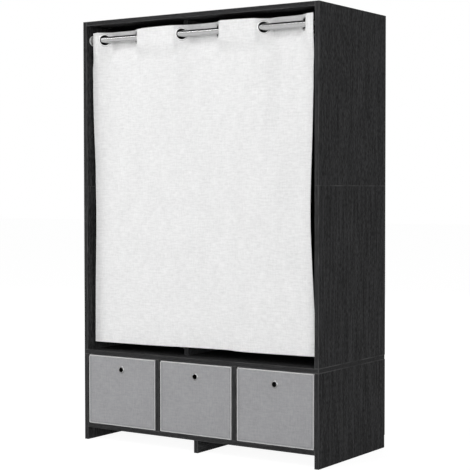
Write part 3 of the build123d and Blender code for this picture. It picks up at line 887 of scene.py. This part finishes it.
def makeCurtain():
    half, count = curtain["blockHalf"], curtain["blockCells"]
    holeRuns = np.interp(eyeletX, topX, topRun)
    uLines, columns = gridLines(0, clothWidth, holeRuns, half, count, curtain["cell"])
    vLines, rows = gridLines(clothBottom, clothTop, [rodZ], half, count, curtain["cell"])
    holes = [(column, rows[0], (run, rodZ), curtain["holeRadius"]) for column, run in zip(columns, holeRuns)]
    params, faces, faceColumns = gridWithHoles(uLines, vLines, holes, count, curtain["holeRings"])
    inset = curtain["hemWidth"] - stitchRows["inset"]
    bottomRow = clothBottom + curtain["bottomHem"] - stitchRows["inset"]
    sideRows = {1: inset, len(clothPieces): clothWidth - inset}
    firstColumn, made = 0, []
    for number, (name, seam, bodies, bend) in enumerate(clothPieces, 1):
        seamRun = np.interp(seam, topX, topRun) if seam else clothWidth
        endColumn = int(np.abs(uLines - seamRun).argmin())
        own = [face for face, column in zip(faces, faceColumns) if firstColumn <= column < endColumn]
        piece = sheetPiece(name, params, own, clothSurface, frontDepth, hemDepth, cloths["white_cloth"])
        low, high = uLines[firstColumn], uLines[endColumn]
        runs = spread(max(low, inset), min(high, clothWidth - inset), stitchRows["step"])
        paths = [clothPath([(s, z) for s in runs]) for z in (bottomRow, stitchRows["band"])]
        if number in sideRows:
            upright = spread(bottomRow, stitchRows["top"], stitchRows["step"])
            paths.append(clothPath([(sideRows[number], z) for z in upright]))
        stitches = alongPaths(f"curtain_stitches_{number}", paths, "stitches",
                              {**curtainStitches, "Material": cloths["white_thread"]})
        bendOrRide(piece, bodies, bend)
        bendOrRide(stitches, bodies, bend)
        made.append(piece)
        firstColumn = endColumn
    return made


# The solid curtain has six folds, and the last two pieces of cloth show the last one
for number, piece in enumerate(makeCurtain()[:6], 1):
    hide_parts(f"curtain_fold_{number}")
print("curtain made, cloth", round(clothWidth, 3), "m wide")


# Eyelets: two domed washers closed round the cloth
eyelet = {
    "turn": 45.0, "segments": 72,
    "body": {1: "curtain_lead", 2: "curtain_lead", 3: "curtain_leaf_3", 4: "curtain_leaf_4",
             5: "curtain_leaf_5", 6: "curtain_leaf_6"},
    "grip": ((0.0205, -0.00070), (0.0205, 0.00070)),
}
eyeletDome = ((0.0240, 0.00070), (0.0240, 0.00095), (0.0236, 0.00135), (0.0228, 0.00180), (0.0217, 0.00205),
              (0.0206, 0.00205), (0.0196, 0.00175), (0.0188, 0.00128), (0.0184, 0.00085), (0.0183, 0.00030))


def makeEyelets():
    profile = [*eyeletDome, *((r, -h) for r, h in reversed(eyeletDome)), *eyelet["grip"]]
    for number in eyeletNumbers:
        lean = 1 if number % 2 else -1
        turn = math.radians(eyelet["turn"])
        axis = (lean * math.sin(turn), -math.cos(turn), 0)
        ring = revolved(f"eyelet_ring_{number}", profile, eyeletCentres[number], axis, eyelet["segments"],
                        metals["eyelet_metal"])
        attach(ring, eyelet["body"][number])
        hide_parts(f"eyelet_{number}")


makeEyelets()
print("eyelets made")


# Bins: fabric boxes with a bound top, piped edges and a grommet
fabricBin = {
    "wall": 0.003, "corner": 0.0032, "cornerCells": 4, "cell": 0.0062,
    "lift": 0.0012, "topGap": 0.0016, "sideGap": 0.0013,    # the dark gaps that show round a bin
    "bulge": 0.0011, "sink": 0.4,    # the front swells out, and the other sides sink in by this share of it
    "ripple": 0.0004, "rippleWaves": ((31, 17, 40), (5, 23, 0)),    # along the run, up, and from bin to bin
    "blockHalf": 0.018, "blockCells": 6, "holeRings": 3, "holeRadius": 0.0099,
    "grommetDrop": 0.0462, "grommetSegments": 48, "floorLift": 0.0002, "floorShare": 0.9,
    "binding": 0.0042, "bindingThick": 0.0005, "bindingCrown": 0.0008, "bindingStep": 0.002,
}
# The binding's outer half, as (share of its thickness, height above its foot) and then above the bin's top
bindingFoot = ((0.0, 0.0), (0.8, 0.0002), (1.0, 0.0008))
bindingTop = ((1.0, -0.0006), (0.4, 0.0005))
binPiping = {"radius": 0.0015, "inset": 0.0011, "proud": 0.0002, "under": 0.0016, "round": 0.001,
             "start": 0.004}
binStitches = {"Pitch": 0.0046, "Length": 0.0040, "Thread Radius": 0.00045, "Wobble": 0.12, "Seed": 5}
binRows = {"inset": 0.0045, "bottom": 0.0075, "foot": 0.008, "belowBinding": 0.0004, "step": 0.005,
           "lift": 0.0001}
grommetDome = ((0.0140, 0.0002), (0.0140, 0.0006), (0.0136, 0.0010), (0.0126, 0.0016), (0.0114, 0.0024),
               (0.0104, 0.0031), (0.0098, 0.0033), (0.0093, 0.0031), (0.0091, 0.0023), (0.0090, -0.0010))
grommetBack = ((0.0093, -0.0042), (0.0096, -0.0046), (0.0125, -0.0048), (0.0136, -0.0042), (0.0138, -0.0032),
               (0.0106, -0.0031), (0.0101, -0.0028), (0.0101, 0.0001))


# A bin's wall is one run round the box, from the middle of the back past the left, the front and the right.
# Its even stretches are the sides and its odd ones the corners. The stops are where they meet.
def measureBin(side):
    low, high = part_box(f"bin_{side}_cover")
    width, depth, tall = high - low
    low = low + Vector((0, 0, fabricBin["lift"]))
    tall -= fabricBin["topGap"] + fabricBin["lift"]
    width -= 2 * fabricBin["sideGap"]
    corner = fabricBin["corner"]
    across, deep, bend = width - 2 * corner, depth - 2 * corner, corner * math.pi / 2
    stops = np.cumsum([0, across / 2, bend, deep, bend, across, bend, deep, bend, across / 2])
    return {"name": f"bin_{side}", "low": low, "high": high, "width": width, "tall": tall,
            "middleX": (low.x + high.x) / 2, "half": np.array([across, deep]) / 2, "stops": stops,
            "frontRun": (stops[4] + stops[5]) / 2, "grommetZ": tall - fabricBin["grommetDrop"]}


# Places and normals on the outside of the wall, for each (distance along the run, height)
def wallPlaces(box, params):
    low, high, half, stops, middleX = (box[key] for key in ("low", "high", "half", "stops", "middleX"))
    s, z = params[:, 0] % stops[-1], params[:, 1]
    at = np.clip(np.searchsorted(stops, s, side="right") - 1, 0, len(stops) - 2)
    side, rounded, corner = at // 2, at % 2, fabricBin["corner"]
    gone = s - stops[at] + np.where(at == 0, half[0], 0)
    turn = math.pi / 2 * (1 + side) + rounded * gone / corner
    cos, sin = np.cos(turn), np.sin(turn)
    centres = np.array([(1, 1), (-1, 1), (-1, -1), (1, -1), (1, 1)]) * half
    x, y = centres[side + rounded].T
    straight = (1 - rounded) * gone
    x = middleX + x + corner * cos - straight * sin
    y = (low.y + high.y) / 2 + y + corner * sin + straight * cos
    swell = (1 - rounded) * np.sin(math.pi * gone / (2 * half[side % 2])) * np.sin(math.pi * z / box["tall"])
    first, second = (np.sin(a * s + b * z + c * middleX) for a, b, c in fabricBin["rippleWaves"])
    bulge = np.where(at == 4, 1, -fabricBin["sink"]) * fabricBin["bulge"]
    out = swell * (bulge + first * second * fabricBin["ripple"])
    normal = np.stack([cos, sin, 0 * turn], axis=1)
    return np.stack([x, y, low.z + z], axis=1) + out[:, None] * normal, normal


def makeWall(box):
    stops, tall, run, height = (box[key] for key in ("stops", "tall", "frontRun", "grommetZ"))
    half, count, cell = (fabricBin[key] for key in ("blockHalf", "blockCells", "cell"))

    def plainLines(first, last):
        steps = (cell, (stops[2] - stops[1]) / fabricBin["cornerCells"])
        return np.concatenate([spread(stops[k], stops[k + 1], steps[k % 2])[:-1] for k in range(first, last)])

    before, after = plainLines(0, 4), plainLines(5, 9)
    front, blocks = gridLines(stops[4], stops[5], [run], half, count, cell)
    uLines = np.concatenate([before, front[:-1], after, stops[-1:]])
    vLines, rows = gridLines(0, tall, [height], half, count, cell)
    holes = [(len(before) + blocks[0], rows[0], (run, height), fabricBin["holeRadius"])]
    params, faces, _ = gridWithHoles(uLines, vLines, holes, count, fabricBin["holeRings"])
    # The last column is the first one again
    nu = len(uLines)
    close = {j * nu + nu - 1: j * nu for j in range(len(vLines))}
    faces = [tuple(close.get(i, i) for i in face) for face in faces]
    wall = sheetPiece(f"{box['name']}_fabric", params, faces, lambda p: wallPlaces(box, p),
                      lambda p: np.zeros(len(p)), lambda p: np.full(len(p), fabricBin["wall"]),
                      cloths["grey_cloth"])
    return wall, uLines


def makeFloor(box, uLines):
    place, out = wallPlaces(box, np.array([(s, 0.0) for s in uLines[:-1]]))
    inner = place - out * fabricBin["wall"] * fabricBin["floorShare"]
    count, under = len(inner), fabricBin["floorLift"] - fabricBin["lift"]
    points = np.concatenate([inner + [0, 0, under], inner + [0, 0, fabricBin["wall"]]])
    faces = [tuple(range(count))[::-1], tuple(range(count, 2 * count))]
    faces += [(k, (k + 1) % count, (k + 1) % count + count, k + count) for k in range(count)]
    uvs = [points[i][:2] for face in faces for i in face]
    floor = buildMesh(f"{box['name']}_floor", points, faces, uvs, None, cloths["grey_cloth"])
    for polygon in floor.data.polygons:
        polygon.use_smooth = False
    return floor


# The binding is folded over the top edge. Its rings of points run up its outer half, over its middle and down
# its inner half.
def makeBinding(box, uLines):
    tall, wall, thick = box["tall"], fabricBin["wall"], fabricBin["bindingThick"]
    foot = tall - fabricBin["binding"]
    outer = [(thick * share, foot + up) for share, up in bindingFoot]
    outer += [(thick * share, tall + up) for share, up in bindingTop]
    inner = [(-wall - offset, z) for offset, z in reversed(outer[:1] + outer[2:])]
    rings = []
    for offset, z in (*outer, (-wall / 2, tall + fabricBin["bindingCrown"]), *inner):
        place, out = wallPlaces(box, np.array([(s, min(z, tall)) for s in uLines[:-1]]))
        rings.append(place + out * offset + [0, 0, z - min(z, tall)])
    n, count, step = len(rings), len(uLines) - 1, fabricBin["bindingStep"]
    faces, uvs = [], []
    for r in range(n):
        q = (r + 1) % n
        for k in range(count):
            j = (k + 1) % count
            faces.append((r * count + j, q * count + j, q * count + k, r * count + k))
            uvs += [(uLines[k + 1], r * step), (uLines[k + 1], (r + 1) * step), (uLines[k], (r + 1) * step),
                    (uLines[k], r * step)]
    points = np.concatenate(rings)
    return buildMesh(f"{box['name']}_binding", points, faces, uvs, None, cloths["grey_binding"])


# Piping round the front panel and along the bottom edges
def makePiping(box):
    inset, under, bend = binPiping["inset"], binPiping["under"], binPiping["round"]
    left, right = box["middleX"] - box["width"] / 2 + inset, box["middleX"] + box["width"] / 2 - inset
    bottom, top = box["low"].z + under, box["low"].z + box["tall"] - fabricBin["binding"]
    front, back = box["low"].y - binPiping["proud"], box["high"].y - under
    start = front + binPiping["start"]
    panel = [(left, front, top), (left, front, bottom + bend), (left + bend, front, bottom),
             (right - bend, front, bottom), (right, front, bottom + bend), (right, front, top)]
    edges = [(left, start, bottom), (left, back, bottom), (right, back, bottom), (right, start, bottom)]
    piping = alongPaths(f"{box['name']}_piping", [panel, edges], "piping",
                        {"Radius": binPiping["radius"], "Material": cloths["grey_piping"]})
    layers = piping.data.uv_layers
    layer = layers[0] if layers else layers.new(name="UVMap")
    for index, loop in enumerate(piping.data.loops):
        at = piping.data.vertices[loop.vertex_index].co
        layer.data[index].uv = (at.x + at.y, at.z)
    return piping


# Stitches under the binding and inside the piping
def makeBinStitches(box):
    stops, step = box["stops"], binRows["step"]
    left, right = stops[4] + binRows["inset"], stops[5] - binRows["inset"]
    under = box["tall"] - fabricBin["binding"] - binRows["belowBinding"]
    rows = [[(s, under) for s in spread(0, stops[-1], step)]]
    rows += [[(s, z) for z in spread(binRows["foot"], under, step)] for s in (left, right)]
    rows.append([(s, binRows["bottom"]) for s in spread(left, right, step)])
    paths = []
    for row in rows:
        place, out = wallPlaces(box, np.array(row))
        paths.append(place + out * binRows["lift"])
    return alongPaths(f"{box['name']}_stitches", paths, "stitches",
                      {**binStitches, "Material": cloths["grey_thread"]})


def makeGrommet(box):
    face, _ = wallPlaces(box, np.array([(box["frontRun"], box["grommetZ"])]))
    return revolved(f"{box['name']}_ring", [*grommetDome, *grommetBack], face[0], (0, -1, 0),
                    fabricBin["grommetSegments"], metals["grommet_metal"])


def makeBin(side):
    box = measureBin(side)
    wall, uLines = makeWall(box)
    soft = [wall, makeFloor(box, uLines), makeBinding(box, uLines), makePiping(box), makeBinStitches(box)]
    ring = makeGrommet(box)
    for piece, material in (*((piece, "grey_cloth") for piece in soft), (ring, "eyelet_metal")):
        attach(piece, f"bin_{side}")
    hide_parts(f"bin_{side}_cover")
    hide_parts(f"bin_{side}_grommet")


for side in sides:
    makeBin(side)
print("bins made")


# Studio: white floor and backdrop. The wide fill from the front right does most of the lighting, the key adds
# light from above, the tall lamp at the left throws the left side board's shade on the curtain, and the
# narrow high one draws the bright line along the rod. Each lamp is (name, place, size, power).
studio = {
    "floorHalf": 30.0, "floorDrop": 0.0003, "floorColor": (0.9, 0.9, 0.9, 1), "floorGlow": 1.20,
    "floorShadow": 0.22, "skyLight": 0.26,
    "lamps": (("key", (-1.6, -4.6, 5.4), (2.0, 2.0), 120.0), ("left", (-5.77, -3.40, 0.9), (1.0, 4.6), 148.0),
              ("high", (-4.9, -4.67, 5.66), (1.8, 0.3), 16.0), ("fill", (8.0, -9.8, 1.0), (9.0, 9.0), 1185.0),
              ("rear", (-2.5, 5.5, 3.5), (4.0, 4.0), 110.0)),
    "aim": (0.0, -0.2, 0.9),
}
white = (1, 1, 1, 1)


def emptyTree(owner):
    owner.use_nodes = True
    owner.node_tree.nodes.clear()
    return owner.node_tree


# Whether the camera sees a place itself, in a mirror or through glass, and not by its light alone
def seenItself(tree):
    path = addNode(tree, "ShaderNodeLightPath")
    glossy, clear = path["Is Glossy Ray"], path["Is Transmission Ray"]
    return mathNode(tree, "MAXIMUM", path["Is Camera Ray"], mathNode(tree, "MAXIMUM", glossy, clear))


def makeFloorMaterial():
    material = bpy.data.materials.new("studio_floor")
    tree = emptyTree(material)
    diffuse = addNode(tree, "ShaderNodeBsdfDiffuse", {"Color": studio["floorColor"]})[0]
    glow = addNode(tree, "ShaderNodeEmission", {"Color": white, "Strength": studio["floorGlow"]})[0]
    share = times(tree, seenItself(tree), 1 - studio["floorShadow"])
    mix = addNode(tree, "ShaderNodeMixShader", {0: share, 1: diffuse, 2: glow})[0]
    addNode(tree, "ShaderNodeOutputMaterial", {"Surface": mix}, is_active_output=True)
    return material


def makeStudio():
    half = studio["floorHalf"]
    corners = [(x * half, y * half, -studio["floorDrop"]) for x, y in ((-1, -1), (1, -1), (1, 1), (-1, 1))]
    floor = buildMesh("floor", corners, [(0, 1, 2, 3)], material=makeFloorMaterial())
    world = bpy.data.worlds.new("studio")
    bpy.context.scene.world = world
    tree = emptyTree(world)
    strength = plus(tree, times(tree, seenItself(tree), 1 - studio["skyLight"]), studio["skyLight"])
    background = addNode(tree, "ShaderNodeBackground", {"Color": white, "Strength": strength})[0]
    addNode(tree, "ShaderNodeOutputWorld", {"Surface": background})
    for name, place, size, power in studio["lamps"]:
        lamp = bpy.data.lights.new(name, "AREA")
        lamp.shape = "RECTANGLE"
        lamp.size, lamp.size_y = size
        lamp.energy = power
        light = placeObject(name, lamp)
        light.location = place
        light.rotation_euler = (Vector(studio["aim"]) - Vector(place)).to_track_quat("-Z", "Y").to_euler()


makeStudio()
print("studio made")
